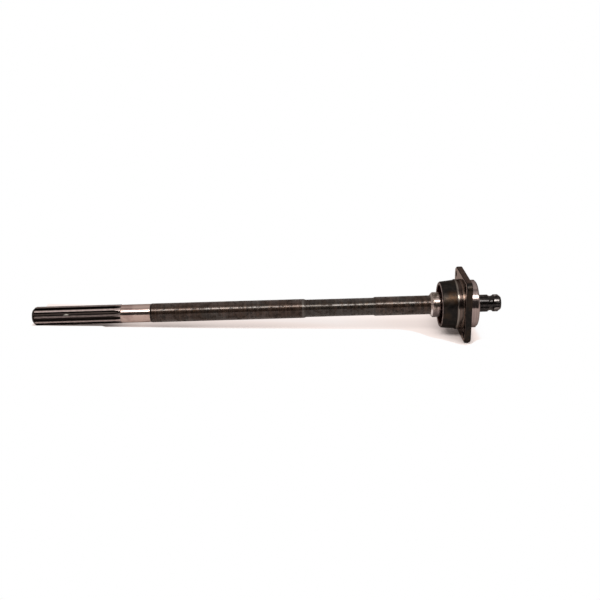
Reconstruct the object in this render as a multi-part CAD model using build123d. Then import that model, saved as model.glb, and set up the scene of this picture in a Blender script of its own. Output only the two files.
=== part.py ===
from build123d import *
import math
import os

# Rear power take-off shaft: one long turned shaft, splined at both ends, that runs in a flanged
# ball bearing housing near its rear end. Millimetres. The shaft lies along X, its front spline
# points to -X and its output stub to +X. The origin is on the shaft axis, in the plane of the
# flange's front face, which bolts against the gearcase. +Z is up.

# Shaft stations along X
FRONT_END_X = -864.0
FRONT_SPLINE_FULL_X = -701.0
NECK_START_X = -684.0
NECK_END_X = -626.0
RELIEF_START_X = -316.0
RELIEF_END_X = -172.0
COLLAR_FRONT_X = -60.8
BEARING_FRONT_X = -27.35
BEARING_WIDTH = 18.0
SHOULDER_END_X = 7.0
SEAL_LAND_END_X = 30.0
STUB_SPLINE_FULL_X = 44.0
LOCK_GROOVE_X = 61.0
REAR_END_X = 81.4

# Shaft radii, and the lengths of the tapers that join them
BAR_R = 19.2
RELIEF_R = 17.7
NECK_R = 18.4
BEARING_SEAT_R = 20.0
SHOULDER_R = 23.5
SEAL_LAND_R = 22.5
NECK_FRONT_TAPER = 1.2
NECK_REAR_TAPER = 3.0
RELIEF_TAPER = 4.0
SHOULDER_TAPER = 1.7
STUB_SHOULDER_LENGTH = 2.5
STUB_SHOULDER_STEP = 1.0
STUB_SHOULDER_TAPER = 1.5

# Front spline: ten involute teeth of 30 degrees pressure angle on a 1.5 inch diameter
FRONT_TEETH = 10
FRONT_SPLINE_R = 19.05
FRONT_PRESSURE_DEG = 30.0
FRONT_PITCH_R = FRONT_SPLINE_R * FRONT_TEETH / (FRONT_TEETH + 1)
FRONT_ROOT_R = 15.1
FRONT_CUTTER_R = 50.0
FRONT_CHAMFER = 6.0
FRONT_TOOTH_DEG = 13.6

# Output stub: six straight-sided teeth on a 1 3/8 inch diameter
STUB_TEETH = 6
STUB_R = 17.45
STUB_TOOTH_W = 0.25 * 2 * STUB_R
STUB_ROOT_R = 0.85 * STUB_R
STUB_CUTTER_R = 22.0
STUB_CHAMFER_LENGTH = 5.5
STUB_CHAMFER_DEPTH = 4.5
STUB_TOOTH_DEG = 33.5
LOCK_GROOVE_R = 14.7
LOCK_GROOVE_ARC_R = 6.8

# How far a spline cutter stands clear of the metal, and swings past its run-out
CUTTER_CLEARANCE = 2.0
CUTTER_SWING_DEG = 50.0

# Centre holes left by turning between centres
CENTRE_PILOT_R = 2.5
CENTRE_MOUTH_R = 5.5
CENTRE_DEPTH = 11.0
CENTRE_DRILL_POINT = 1.4

# Collar shrunk on in front of the bearing
COLLAR_R = 25.5
COLLAR_FACE_R = 20.9
COLLAR_REAR_CHAMFER = 0.8

# Deep-groove ball bearing, 40 x 80 x 18
BALL_COUNT = 9
BALL_R = 5.95
PITCH_R = 30.0
RACE_CLEARANCE = 0.05
RACEWAY_R = 6.2
INNER_SHOULDER_R = 26.3
OUTER_SHOULDER_R = 33.7
OUTER_RACE_R = 40.0
RACE_CHAMFER = 1.1
BALL_START_DEG = 90.0

# Pressed steel cage in two halves
CAGE_INNER_R = 28.2
CAGE_OUTER_R = 31.8
CAGE_SHEET = 0.9
POCKET_R = 6.1
RIVET_R = 0.9
RIVET_HEAD_R = 1.5
RIVET_HEAD = 0.6

# Housing: open cup, pilot, square flange and rear spigot, one iron casting
MOUTH_X = -41.7
MOUTH_OUTER_R = 46.6
MOUTH_CHAMFER = 2.0
MOUTH_BORE_CHAMFER = 1.0
CUP_REAR_X = -14.6
CUP_REAR_R = 49.2
PILOT_X = -13.0
PILOT_R = 50.8
PILOT_LEAD = 1.2
PILOT_LEAD_DEPTH = 1.0
PILOT_LAND = 2.6
PILOT_RELIEF_DEPTH = 0.8
PILOT_RELIEF_TAPER = 0.6
BOLT_CIRCLE = 136.0
BOLT_HOLE_R = 6.0
BOLT_COUNT = 4
FLANGE_HALF = 63.0
FLANGE_THICKNESS = 12.7
FLANGE_FRONT_CHAMFER = 2.0
FLANGE_REAR_FILLET = 2.5
SPIGOT_R = 48.4
SPIGOT_END_X = 31.3
SPIGOT_CHAMFER = 3.0
CAVITY_R = 35.0
CAVITY_END_X = 8.0
WEB_R = 28.5
SEAL_STOP_X = 17.0
SEAL_BORE_R = 32.5
SEAL_BORE_LEAD = 1.5
SEAL_BORE_LEAD_DEPTH = 1.0

# Snap ring in the cup's mouth, for an 80 mm bore
SNAP_GROOVE_R = 41.75
SNAP_GROOVE_W = 2.65
SNAP_RING_R = 41.6
SNAP_RING_T = 2.5
SNAP_RING_INNER_R = 35.4
SNAP_RING_OFFSET = 1.6
SNAP_GAP_DEG = 20.0
SNAP_LUG_R = 4.2
SNAP_LUG_OVERLAP = 2.2
SNAP_LUG_DEG = 18.4
SNAP_LUG_HOLE_R = 1.5
SNAP_GAP_DIRECTION_DEG = -90.0

# Lip seal behind the bearing, 45 x 65 x 10: a steel case with a rubber lip bonded to its web
SEAL_WIDTH = 10.0
SEAL_CASE_WALL = 1.6
SEAL_CASE_LEAD = 0.8
SEAL_CASE_EDGE_R = 25.2
LIP_CLEARANCE = 0.05
LIP_FRONT_SETBACK = 1.2
LIP_EDGE_SETBACK = 3.3
LIP_HEAD_INNER_R = 24.3
LIP_HEAD_OUTER_R = 26.2
LIP_HEAD_LENGTH = 3.3
LIP_NECK_INNER_R = 23.9
LIP_NECK_OUTER_R = 25.4
LIP_ROOT_THICKNESS = 1.3
DUST_LIP_REACH = 1.6
DUST_LIP_THICKNESS = 0.7
GARTER_R = 1.0
GARTER_PITCH_R = 26.15
GARTER_SETBACK = 2.9

BEARING_REAR_X = BEARING_FRONT_X + BEARING_WIDTH
BEARING_MID_X = BEARING_FRONT_X + BEARING_WIDTH / 2
BOLT_OFFSET = BOLT_CIRCLE / 2 * math.cos(math.radians(45))
FLANGE_CORNER_R = FLANGE_HALF - BOLT_OFFSET
SEAL_REAR_X = SEAL_STOP_X + SEAL_WIDTH


def turned(*points):
    """A solid turned about the shaft axis from an outline of (x, radius) points."""
    outline = Polyline(*points, close=True)
    return revolve(make_face(outline.edges()), Axis.X)


def toward(angle_deg, radius, x=0.0):
    """A point at this radius, at an angle up from the near side (-Y) towards +Z."""
    angle = math.radians(angle_deg)
    return (x, -radius * math.cos(angle), radius * math.sin(angle))


def space_section(root_r, outer_r, half_angle, mid_r=None):
    """One space of a spline, open outwards along +Z, from its half angle at each radius.

    Its walls are arcs through the points at mid_r, or straight without it."""
    beyond_r = outer_r + CUTTER_CLEARANCE

    def place(radius, side):
        angle = half_angle(radius)
        return (side * radius * math.sin(angle), radius * math.cos(angle))

    def wall(side):
        if mid_r is None:
            return Line(place(root_r, side), place(beyond_r, side))
        return ThreePointArc(place(root_r, side), place(mid_r, side), place(beyond_r, side))

    section_plane = Plane(origin=(0, 0, 0), x_dir=(0, 1, 0), z_dir=(1, 0, 0))
    outline = [
        wall(1),
        Line(place(beyond_r, 1), place(beyond_r, -1)),
        wall(-1),
        ThreePointArc(place(root_r, -1), (0, root_r), place(root_r, 1)),
    ]
    return section_plane * make_face(outline)


def involute_space(outer_r, root_r, pitch_r, pressure_deg, teeth):
    """The space between two involute teeth. Each flank is an arc that follows its involute."""
    pressure = math.radians(pressure_deg)
    base_r = pitch_r * math.cos(pressure)
    tooth_at_base = math.pi / (2 * teeth) + math.tan(pressure) - pressure

    def half_angle(radius):
        roll = math.acos(base_r / radius)
        tooth = tooth_at_base - math.tan(roll) + roll
        return math.pi / teeth - tooth

    return space_section(root_r, outer_r, half_angle, mid_r=pitch_r)


def straight_space(outer_r, root_r, tooth_w, teeth):
    """The space between two parallel-sided teeth."""

    def half_angle(radius):
        return math.pi / teeth - math.asin(tooth_w / 2 / radius)

    return space_section(root_r, outer_r, half_angle)


def space_cutter(section, root_r, cutter_r, from_x, full_x, run_out_side):
    """One space cut to full depth from its open end, then run out on the cutter's radius."""
    length = abs(full_x - from_x)
    first_x = min(full_x, from_x)
    straight = extrude(Pos(first_x, 0, 0) * section, amount=length, dir=(1, 0, 0))
    cutter_axis = Axis((full_x, 0, root_r + cutter_r), (0, 1, 0))
    swing = revolve(Pos(full_x, 0, 0) * section, cutter_axis, -run_out_side * CUTTER_SWING_DEG)
    return straight + swing


def cut_spline(shaft, cutter, teeth, tooth_deg):
    """Cuts every space of a spline whose first tooth points at tooth_deg."""
    first_space = tooth_deg + 180 / teeth
    for k in range(teeth):
        up_from_near_side = first_space + k * 360 / teeth
        shaft -= Rot(90 - up_from_near_side, 0, 0) * cutter
    return shaft


def centre_hole(end_x, direction):
    """A drilled centre with its 60 degree seat, entering from one end face."""
    cone_depth = (CENTRE_MOUTH_R - CENTRE_PILOT_R) * math.sqrt(3)
    return turned(
        (end_x - direction, 0),
        (end_x - direction, CENTRE_MOUTH_R),
        (end_x, CENTRE_MOUTH_R),
        (end_x + direction * cone_depth, CENTRE_PILOT_R),
        (end_x + direction * CENTRE_DEPTH, CENTRE_PILOT_R),
        (end_x + direction * (CENTRE_DEPTH + CENTRE_DRILL_POINT), 0),
    )


def shaft_blank():
    """The shaft as turned, before its splines are cut."""
    stub_shoulder_x = SEAL_LAND_END_X + STUB_SHOULDER_LENGTH
    return turned(
        (FRONT_END_X, 0),
        (FRONT_END_X, FRONT_SPLINE_R - FRONT_CHAMFER),
        (FRONT_END_X + FRONT_CHAMFER, FRONT_SPLINE_R),
        (NECK_START_X - NECK_FRONT_TAPER, FRONT_SPLINE_R),
        (NECK_START_X, NECK_R),
        (NECK_END_X, NECK_R),
        (NECK_END_X + NECK_REAR_TAPER, BAR_R),
        (RELIEF_START_X, BAR_R),
        (RELIEF_START_X + RELIEF_TAPER, RELIEF_R),
        (RELIEF_END_X - RELIEF_TAPER, RELIEF_R),
        (RELIEF_END_X, BAR_R),
        (COLLAR_FRONT_X, BAR_R),
        (COLLAR_FRONT_X, BEARING_SEAT_R),
        (BEARING_REAR_X, BEARING_SEAT_R),
        (BEARING_REAR_X, SHOULDER_R),
        (SHOULDER_END_X, SHOULDER_R),
        (SHOULDER_END_X + SHOULDER_TAPER, SEAL_LAND_R),
        (SEAL_LAND_END_X, SEAL_LAND_R),
        (stub_shoulder_x, STUB_R + STUB_SHOULDER_STEP),
        (stub_shoulder_x + STUB_SHOULDER_TAPER, STUB_R),
        (REAR_END_X - STUB_CHAMFER_LENGTH, STUB_R),
        (REAR_END_X, STUB_R - STUB_CHAMFER_DEPTH),
        (REAR_END_X, 0),
    )


def pto_shaft():
    """The shaft in one piece, splined at the front end and on the rear stub."""
    shaft = shaft_blank()
    front_space = involute_space(
        FRONT_SPLINE_R, FRONT_ROOT_R, FRONT_PITCH_R, FRONT_PRESSURE_DEG, FRONT_TEETH)
    front_cutter = space_cutter(
        front_space, FRONT_ROOT_R, FRONT_CUTTER_R,
        FRONT_END_X - CUTTER_CLEARANCE, FRONT_SPLINE_FULL_X, 1)
    shaft = cut_spline(shaft, front_cutter, FRONT_TEETH, FRONT_TOOTH_DEG)
    stub_space = straight_space(STUB_R, STUB_ROOT_R, STUB_TOOTH_W, STUB_TEETH)
    stub_cutter = space_cutter(
        stub_space, STUB_ROOT_R, STUB_CUTTER_R,
        REAR_END_X + CUTTER_CLEARANCE, STUB_SPLINE_FULL_X, -1)
    shaft = cut_spline(shaft, stub_cutter, STUB_TEETH, STUB_TOOTH_DEG)
    lock_arc_centre_r = LOCK_GROOVE_R + LOCK_GROOVE_ARC_R
    lock_arc = Pos(LOCK_GROOVE_X, lock_arc_centre_r, 0) * Circle(LOCK_GROOVE_ARC_R)
    shaft -= revolve(lock_arc, Axis.X)
    shaft -= centre_hole(FRONT_END_X, 1)
    shaft -= centre_hole(REAR_END_X, -1)
    return shaft


def bearing_collar():
    """Bright turned collar, shrunk on against the bearing's inner race."""
    slope = COLLAR_R - COLLAR_FACE_R
    return turned(
        (COLLAR_FRONT_X, BEARING_SEAT_R),
        (COLLAR_FRONT_X, COLLAR_FACE_R),
        (COLLAR_FRONT_X + slope, COLLAR_R),
        (BEARING_FRONT_X - COLLAR_REAR_CHAMFER, COLLAR_R),
        (BEARING_FRONT_X, COLLAR_R - COLLAR_REAR_CHAMFER),
        (BEARING_FRONT_X, BEARING_SEAT_R),
    )


def bearing_inner_race():
    race = turned(
        (BEARING_FRONT_X, BEARING_SEAT_R + RACE_CHAMFER),
        (BEARING_FRONT_X, INNER_SHOULDER_R),
        (BEARING_REAR_X, INNER_SHOULDER_R),
        (BEARING_REAR_X, BEARING_SEAT_R + RACE_CHAMFER),
        (BEARING_REAR_X - RACE_CHAMFER, BEARING_SEAT_R),
        (BEARING_FRONT_X + RACE_CHAMFER, BEARING_SEAT_R),
    )
    track_bottom_r = PITCH_R - BALL_R - RACE_CLEARANCE
    track = Pos(BEARING_MID_X, track_bottom_r + RACEWAY_R, 0) * Circle(RACEWAY_R)
    return race - revolve(track, Axis.X)


def bearing_outer_race():
    race = turned(
        (BEARING_FRONT_X, OUTER_SHOULDER_R),
        (BEARING_FRONT_X, OUTER_RACE_R - RACE_CHAMFER),
        (BEARING_FRONT_X + RACE_CHAMFER, OUTER_RACE_R),
        (BEARING_REAR_X - RACE_CHAMFER, OUTER_RACE_R),
        (BEARING_REAR_X, OUTER_RACE_R - RACE_CHAMFER),
        (BEARING_REAR_X, OUTER_SHOULDER_R),
    )
    track_bottom_r = PITCH_R + BALL_R + RACE_CLEARANCE
    track = Pos(BEARING_MID_X, track_bottom_r - RACEWAY_R, 0) * Circle(RACEWAY_R)
    return race - revolve(track, Axis.X)


def ball_angle(number):
    return BALL_START_DEG + (number - 1) * 360 / BALL_COUNT


def bearing_ball(number):
    return Pos(*toward(ball_angle(number), PITCH_R, BEARING_MID_X)) * Sphere(BALL_R)


def cage_half(side):
    """One half of the pressed cage: flat between the balls, cupped round each of them."""
    sheet = Circle(CAGE_OUTER_R) - Circle(CAGE_INNER_R)
    facing = Plane(origin=(BEARING_MID_X, 0, 0), x_dir=(0, side, 0), z_dir=(side, 0, 0))
    half = extrude(facing * sheet, amount=CAGE_SHEET)
    band = extrude(facing * sheet, amount=POCKET_R + CAGE_SHEET)
    for number in range(1, BALL_COUNT + 1):
        place = Pos(*toward(ball_angle(number), PITCH_R, BEARING_MID_X))
        half += (place * Sphere(POCKET_R + CAGE_SHEET)) & band
    for number in range(1, BALL_COUNT + 1):
        place = Pos(*toward(ball_angle(number), PITCH_R, BEARING_MID_X))
        half -= place * Sphere(POCKET_R)
    for number in range(1, BALL_COUNT + 1):
        half -= rivet_place(number) * Rot(0, 90, 0) * Cylinder(RIVET_R, 4 * CAGE_SHEET)
    return half


def rivet_place(number):
    between_balls = ball_angle(number) + 180 / BALL_COUNT
    return Pos(*toward(between_balls, PITCH_R, BEARING_MID_X))


def cage_rivets():
    """Nine rivets, headed on both sides, that hold the two halves of the cage together."""
    shank = Cylinder(RIVET_R, 2 * CAGE_SHEET)
    head = Cylinder(RIVET_HEAD_R, RIVET_HEAD)
    head_z = CAGE_SHEET + RIVET_HEAD / 2
    rivet = Rot(0, 90, 0) * (shank + Pos(0, 0, head_z) * head + Pos(0, 0, -head_z) * head)
    return Compound([rivet_place(number) * rivet for number in range(1, BALL_COUNT + 1)])


def housing_snap_ring():
    """Internal snap ring: wide opposite its gap, with a drilled lug at each side of the gap."""
    lug_pitch_r = SNAP_RING_INNER_R - SNAP_LUG_R + SNAP_LUG_OVERLAP
    lugs = [Rot(0, 0, side * SNAP_LUG_DEG) * Pos(0, lug_pitch_r) for side in (-1, 1)]
    ring = Circle(SNAP_RING_R) - Pos(0, SNAP_RING_OFFSET) * Circle(SNAP_RING_INNER_R)
    for lug in lugs:
        ring += lug * Circle(SNAP_LUG_R)
    reach = 1.1 * SNAP_RING_R
    half_gap = reach * math.tan(math.radians(SNAP_GAP_DEG / 2))
    wedge = Polyline((0, 0), (-half_gap, reach), (half_gap, reach), close=True)
    ring -= make_face(wedge.edges())
    for lug in lugs:
        ring -= lug * Circle(SNAP_LUG_HOLE_R)
    gap_direction = Vector(*toward(SNAP_GAP_DIRECTION_DEG, 1.0))
    plane = Plane(
        origin=(BEARING_FRONT_X - SNAP_RING_T, 0, 0),
        x_dir=gap_direction.cross(Vector(1, 0, 0)),
        z_dir=(1, 0, 0))
    return extrude(plane * ring, amount=SNAP_RING_T)


def housing_round_body():
    """Cup, pilot, web and rear spigot of the casting, all turned about the shaft axis."""
    front_land_end_x = PILOT_X + PILOT_LEAD + PILOT_LAND
    relief_r = PILOT_R - PILOT_RELIEF_DEPTH
    flange_mid_x = FLANGE_THICKNESS / 2
    snap_groove_front_x = BEARING_FRONT_X - SNAP_GROOVE_W
    return turned(
        (MOUTH_X, OUTER_RACE_R + MOUTH_BORE_CHAMFER),
        (MOUTH_X, MOUTH_OUTER_R - MOUTH_CHAMFER),
        (MOUTH_X + MOUTH_CHAMFER, MOUTH_OUTER_R),
        (CUP_REAR_X, CUP_REAR_R),
        (PILOT_X, PILOT_R - PILOT_LEAD_DEPTH),
        (PILOT_X + PILOT_LEAD, PILOT_R),
        (front_land_end_x, PILOT_R),
        (front_land_end_x + PILOT_RELIEF_TAPER, relief_r),
        (-PILOT_LAND - PILOT_RELIEF_TAPER, relief_r),
        (-PILOT_LAND, PILOT_R),
        (flange_mid_x, PILOT_R),
        (flange_mid_x, SPIGOT_R),
        (SPIGOT_END_X - SPIGOT_CHAMFER, SPIGOT_R),
        (SPIGOT_END_X, SPIGOT_R - SPIGOT_CHAMFER),
        (SPIGOT_END_X, SEAL_BORE_R + SEAL_BORE_LEAD_DEPTH),
        (SPIGOT_END_X - SEAL_BORE_LEAD, SEAL_BORE_R),
        (SEAL_STOP_X, SEAL_BORE_R),
        (SEAL_STOP_X, WEB_R),
        (CAVITY_END_X, WEB_R),
        (CAVITY_END_X, CAVITY_R),
        (BEARING_REAR_X, CAVITY_R),
        (BEARING_REAR_X, OUTER_RACE_R),
        (BEARING_FRONT_X, OUTER_RACE_R),
        (BEARING_FRONT_X, SNAP_GROOVE_R),
        (snap_groove_front_x, SNAP_GROOVE_R),
        (snap_groove_front_x, OUTER_RACE_R),
        (MOUTH_X + MOUTH_BORE_CHAMFER, OUTER_RACE_R),
    )


def flange_plate():
    """Square flange, open inside the pilot, with corners rounded about its four bolt holes."""
    outline = RectangleRounded(2 * FLANGE_HALF, 2 * FLANGE_HALF, FLANGE_CORNER_R)
    plate = extrude(Plane.YZ * outline, amount=FLANGE_THICKNESS)
    front_edges = plate.edges().group_by(Axis.X)[0]
    plate = chamfer(front_edges, FLANGE_FRONT_CHAMFER)
    rear_edges = plate.edges().group_by(Axis.X)[-1]
    plate = fillet(rear_edges, FLANGE_REAR_FILLET)
    opening_r = (CAVITY_R + SPIGOT_R) / 2
    through = Rot(0, 90, 0) * Cylinder(opening_r, 4 * FLANGE_THICKNESS)
    return plate - through


def bearing_housing():
    housing = housing_round_body() + flange_plate()
    for k in range(BOLT_COUNT):
        corner = 45 + k * 360 / BOLT_COUNT
        place = Pos(*toward(corner, BOLT_CIRCLE / 2, FLANGE_THICKNESS / 2))
        housing -= place * Rot(0, 90, 0) * Cylinder(BOLT_HOLE_R, 2 * FLANGE_THICKNESS)
    return housing


def oil_seal_case():
    """Pressed steel case of the seal: an outer wall and a web at its rear."""
    inside_r = SEAL_BORE_R - SEAL_CASE_WALL
    web_x = SEAL_REAR_X - SEAL_CASE_WALL
    return turned(
        (SEAL_STOP_X, inside_r),
        (SEAL_STOP_X, SEAL_BORE_R - SEAL_CASE_LEAD),
        (SEAL_STOP_X + SEAL_CASE_LEAD, SEAL_BORE_R),
        (SEAL_REAR_X, SEAL_BORE_R),
        (SEAL_REAR_X, SEAL_CASE_EDGE_R),
        (web_x, SEAL_CASE_EDGE_R),
        (web_x, inside_r),
    )


def oil_seal_lip():
    """Rubber lip on the case's web: root, thin neck, head with a spring groove, and dust lip."""
    edge_r = SEAL_LAND_R + LIP_CLEARANCE
    inside_r = SEAL_BORE_R - SEAL_CASE_WALL
    web_x = SEAL_REAR_X - SEAL_CASE_WALL
    root_x = web_x - LIP_ROOT_THICKNESS
    head_front_x = SEAL_STOP_X + LIP_FRONT_SETBACK
    head_rear_x = head_front_x + LIP_HEAD_LENGTH
    sealing_edge_x = SEAL_STOP_X + LIP_EDGE_SETBACK
    dust_lip_x = SEAL_REAR_X + DUST_LIP_REACH
    lip = turned(
        (web_x, inside_r),
        (web_x, SEAL_CASE_EDGE_R),
        (SEAL_REAR_X, SEAL_CASE_EDGE_R),
        (dust_lip_x, edge_r),
        (dust_lip_x - DUST_LIP_THICKNESS, edge_r),
        (web_x, LIP_NECK_INNER_R),
        (head_rear_x, LIP_NECK_INNER_R),
        (sealing_edge_x, edge_r),
        (head_front_x, LIP_HEAD_INNER_R),
        (head_front_x, LIP_HEAD_OUTER_R),
        (head_rear_x, LIP_HEAD_OUTER_R),
        (root_x, LIP_NECK_OUTER_R),
        (root_x, inside_r),
    )
    return lip - garter_ring()


def garter_ring():
    """The spring that holds the lip to the shaft, as a plain ring in the lip's groove."""
    section = Pos(SEAL_STOP_X + GARTER_SETBACK, GARTER_PITCH_R, 0) * Circle(GARTER_R)
    return revolve(section, Axis.X)


def build_nodes():
    nodes = {
        "pto_shaft": pto_shaft(),
        "bearing_collar": bearing_collar(),
        "bearing_inner_race": bearing_inner_race(),
        "bearing_outer_race": bearing_outer_race(),
        "cage_front_half": cage_half(-1),
        "cage_rear_half": cage_half(1),
        "cage_rivets": cage_rivets(),
        "housing_snap_ring": housing_snap_ring(),
        "bearing_housing": bearing_housing(),
        "oil_seal_case": oil_seal_case(),
        "oil_seal_lip": oil_seal_lip(),
        "seal_garter_spring": garter_ring(),
    }
    for number in range(1, BALL_COUNT + 1):
        nodes[f"bearing_ball_{number}"] = bearing_ball(number)
    return nodes


os.makedirs("parts", exist_ok=True)
for name, shape in build_nodes().items():
    export_step(shape, f"parts/{name}.step")
    print(name, round(shape.volume), "mm3")
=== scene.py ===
# %% [markdown]
# A rear power take-off shaft, dressed in Blender.
# The real object is a long turned shaft, splined at both ends, that runs in a ball bearing
# inside a flanged iron housing. All its solid pieces come ready made from the frame.
# This lesson lights them as in a small white studio and gives each piece its own finish.

# %% Load the frame
import math

import bpy
from mathutils import Matrix, Vector


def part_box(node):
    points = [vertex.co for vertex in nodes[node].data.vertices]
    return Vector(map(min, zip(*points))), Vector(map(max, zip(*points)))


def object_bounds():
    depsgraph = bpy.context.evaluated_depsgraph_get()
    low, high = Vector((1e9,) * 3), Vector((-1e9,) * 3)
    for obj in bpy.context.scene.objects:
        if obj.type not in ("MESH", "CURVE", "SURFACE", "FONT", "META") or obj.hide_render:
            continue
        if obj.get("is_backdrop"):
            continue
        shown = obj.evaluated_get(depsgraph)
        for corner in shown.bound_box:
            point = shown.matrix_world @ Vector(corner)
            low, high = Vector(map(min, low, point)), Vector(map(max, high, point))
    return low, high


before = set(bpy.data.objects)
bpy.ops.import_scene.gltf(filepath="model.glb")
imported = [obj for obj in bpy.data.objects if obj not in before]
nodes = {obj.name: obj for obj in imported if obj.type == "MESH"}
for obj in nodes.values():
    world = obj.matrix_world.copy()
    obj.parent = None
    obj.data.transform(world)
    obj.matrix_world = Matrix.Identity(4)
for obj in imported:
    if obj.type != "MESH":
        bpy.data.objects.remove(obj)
cad_low, cad_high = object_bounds()
MM = 0.001
print("pieces in the frame:", len(nodes))
print("shaft assembly:", [round((high - low) / MM) for low, high in zip(cad_low, cad_high)], "mm")

# %% [markdown]
# The camera comes first, because every later choice is judged through it.
# A product picture is described by where the lens stands: how far away, how high, how much
# the picture leans, and where one known point of the object falls in the frame.
# It is simpler to work out the place from those four than to push a camera about by hand.

# %% Camera at the photograph's angle
IMAGE_SIZE = 600
ORIGIN_PIXEL = (459.7, 303.85)
CAMERA_DISTANCE = 1690 * MM
CAMERA_ELEVATION = math.radians(20.5)
CAMERA_ROLL = math.radians(1.68)
LENS_LENGTH, SENSOR_WIDTH = 50, 36

bpy.ops.object.select_all(action="DESELECT")
bpy.ops.object.camera_add()
camera = bpy.context.object
camera.name = "studio_camera"
camera.data.lens = LENS_LENGTH
camera.data.sensor_width = SENSOR_WIDTH

forward = Vector((0, math.cos(CAMERA_ELEVATION), -math.sin(CAMERA_ELEVATION)))
level_right = Vector((1, 0, 0))
level_up = level_right.cross(forward)
right = math.cos(CAMERA_ROLL) * level_right - math.sin(CAMERA_ROLL) * level_up
up = math.sin(CAMERA_ROLL) * level_right + math.cos(CAMERA_ROLL) * level_up

pixel = SENSOR_WIDTH / LENS_LENGTH / IMAGE_SIZE * CAMERA_DISTANCE
offset_right = (ORIGIN_PIXEL[0] - IMAGE_SIZE / 2) * pixel
offset_up = (IMAGE_SIZE / 2 - ORIGIN_PIXEL[1]) * pixel
place = -(forward * CAMERA_DISTANCE + right * offset_right + up * offset_up)
turn = Matrix((right, up, -forward)).transposed().to_4x4()
camera.matrix_world = Matrix.Translation(place) @ turn
bpy.context.scene.camera = camera
bpy.context.scene.view_settings.view_transform = "Standard"
print("camera at", [round(v, 3) for v in place], "one pixel is", round(pixel / MM, 2), "mm")

# %% [markdown]
# The shaft lies on a white table. It touches it in two places: along the bottom edge of the
# square flange, and at the lowest tooth of the front spline. The shaft's own frame is level,
# so it is the table that is tilted a little, until it passes through both places.

# %% The table
FRONT_END = cad_low.x
FRONT_CHAMFER = 6 * MM
FRONT_SPLINE_R = 19.05 * MM
FLANGE_EDGE = 2 * MM
TABLE_SIZE = 12.0

flange_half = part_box("bearing_housing")[1].z
front_touch = Vector((FRONT_END + FRONT_CHAMFER, 0, -FRONT_SPLINE_R))
rear_touch = Vector((FLANGE_EDGE, 0, -flange_half))
table_tilt = math.atan2(front_touch.z - rear_touch.z, rear_touch.x - front_touch.x)

bpy.ops.mesh.primitive_plane_add(
    size=TABLE_SIZE, location=rear_touch, rotation=(0, table_tilt, 0))
table = bpy.context.object
table.name = "white_table"
table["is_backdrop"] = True
print("table tilt", round(math.degrees(table_tilt), 2), "degrees")


# %% [markdown]
# Materials are trees of small boxes, and most lines of such a script would only make a box
# and join it to the one before. One helper does both: it makes the node, sets its switches,
# and fills each input with a number, a colour, or the output of an earlier node.
# Much of a tree is about masks. A mask is a value that is 1 where something is, and 0 where
# it isn't. Two masks multiplied give the places that both cover, and the larger of the two
# gives the places that either covers.

# %% Nodes and masks
def add_node(tree, kind, feeds=(), **settings):
    """A node with its switches set and its inputs filled with values or linked."""
    node = tree.nodes.new(kind)
    for name, value in settings.items():
        setattr(node, name, value)
    for place, value in dict(feeds).items():
        if isinstance(value, bpy.types.NodeSocket):
            tree.links.new(value, node.inputs[place])
        else:
            node.inputs[place].default_value = value
    return node


def calc(tree, operation, *values):
    """The output of one Math node."""
    return add_node(tree, "ShaderNodeMath", enumerate(values), operation=operation).outputs[0]


def both(tree, mask, *others):
    """1 where all the masks are 1."""
    for other in others:
        mask = calc(tree, "MULTIPLY", mask, other)
    return mask


def either(tree, mask, *others):
    """1 where any of the masks is 1."""
    for other in others:
        mask = calc(tree, "MAXIMUM", mask, other)
    return mask


def mix_values(tree, mask, under, over):
    """under where the mask is 0, over where it is 1."""
    return add_node(tree, "ShaderNodeMix", {0: mask, 2: under, 3: over}).outputs[0]


def mix_colours(tree, mask, under, over):
    """The same for two colours."""
    feeds = {0: mask, 6: under, 7: over}
    return add_node(tree, "ShaderNodeMix", feeds, data_type="RGBA").outputs[2]


print("helpers for nodes and masks ready")


# %% [markdown]
# A distance or an angle becomes a mask when a part of its range is spread over 0 to 1. The
# ends may be soft, which suits worn edges, or straight. Where two numbers can't describe how
# a value rises and falls, a graph can: a line through points, which a colour ramp keeps as
# greys.

# %% Ranges and graphs
def remap(tree, value, low, high):
    """Spreads low..high of a value over 0..1, with soft ends."""
    feeds = {0: value, 1: low, 2: high}
    node = add_node(tree, "ShaderNodeMapRange", feeds, interpolation_type="SMOOTHSTEP")
    return node.outputs[0]


def spread(tree, value, low, high, new_low=0.0, new_high=1.0):
    """Spreads low..high of a value over new_low..new_high in a straight line."""
    feeds = {0: value, 1: low, 2: high, 3: new_low, 4: new_high}
    return add_node(tree, "ShaderNodeMapRange", feeds).outputs[0]


def graph(tree, value, points):
    """The height of a line through points (value, height), drawn on a colour ramp."""
    places, heights = zip(*points)
    low, high = min(heights), max(heights)
    across = spread(tree, value, places[0], places[-1])
    node = add_node(tree, "ShaderNodeValToRGB", {0: across})
    while len(node.color_ramp.elements) < len(points):
        node.color_ramp.elements.new(0.5)
    for element, (place, height) in zip(node.color_ramp.elements, points):
        element.position = (place - places[0]) / (places[-1] - places[0])
        grey = (height - low) / (high - low)
        element.color = (grey, grey, grey, 1)
    return spread(tree, node.outputs[0], 0.0, 1.0, low, high)


print("helpers for ranges and graphs ready")

# %% [markdown]
# The photograph's table is pure white, yet it keeps the shaft's soft, slightly pink shadow.
# Light strong enough to burn the paper out would burn the steel too. So the paper is lit
# plainly, and it glows a little, but only for rays that come from the camera, from a mirror
# or from glass. The glow lifts the paper to white and leaves the light on the shaft alone.
# Like many catalogue pictures this one was cut out by hand: the paper is plain white right up
# to a line on the near side of the object, and keeps its shadow only behind that line.
# Three small graphs say, by the distance along the table in mm, how much of the shadow is
# washed out at its near side, how much at its far side, and how far back the line runs.

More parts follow.
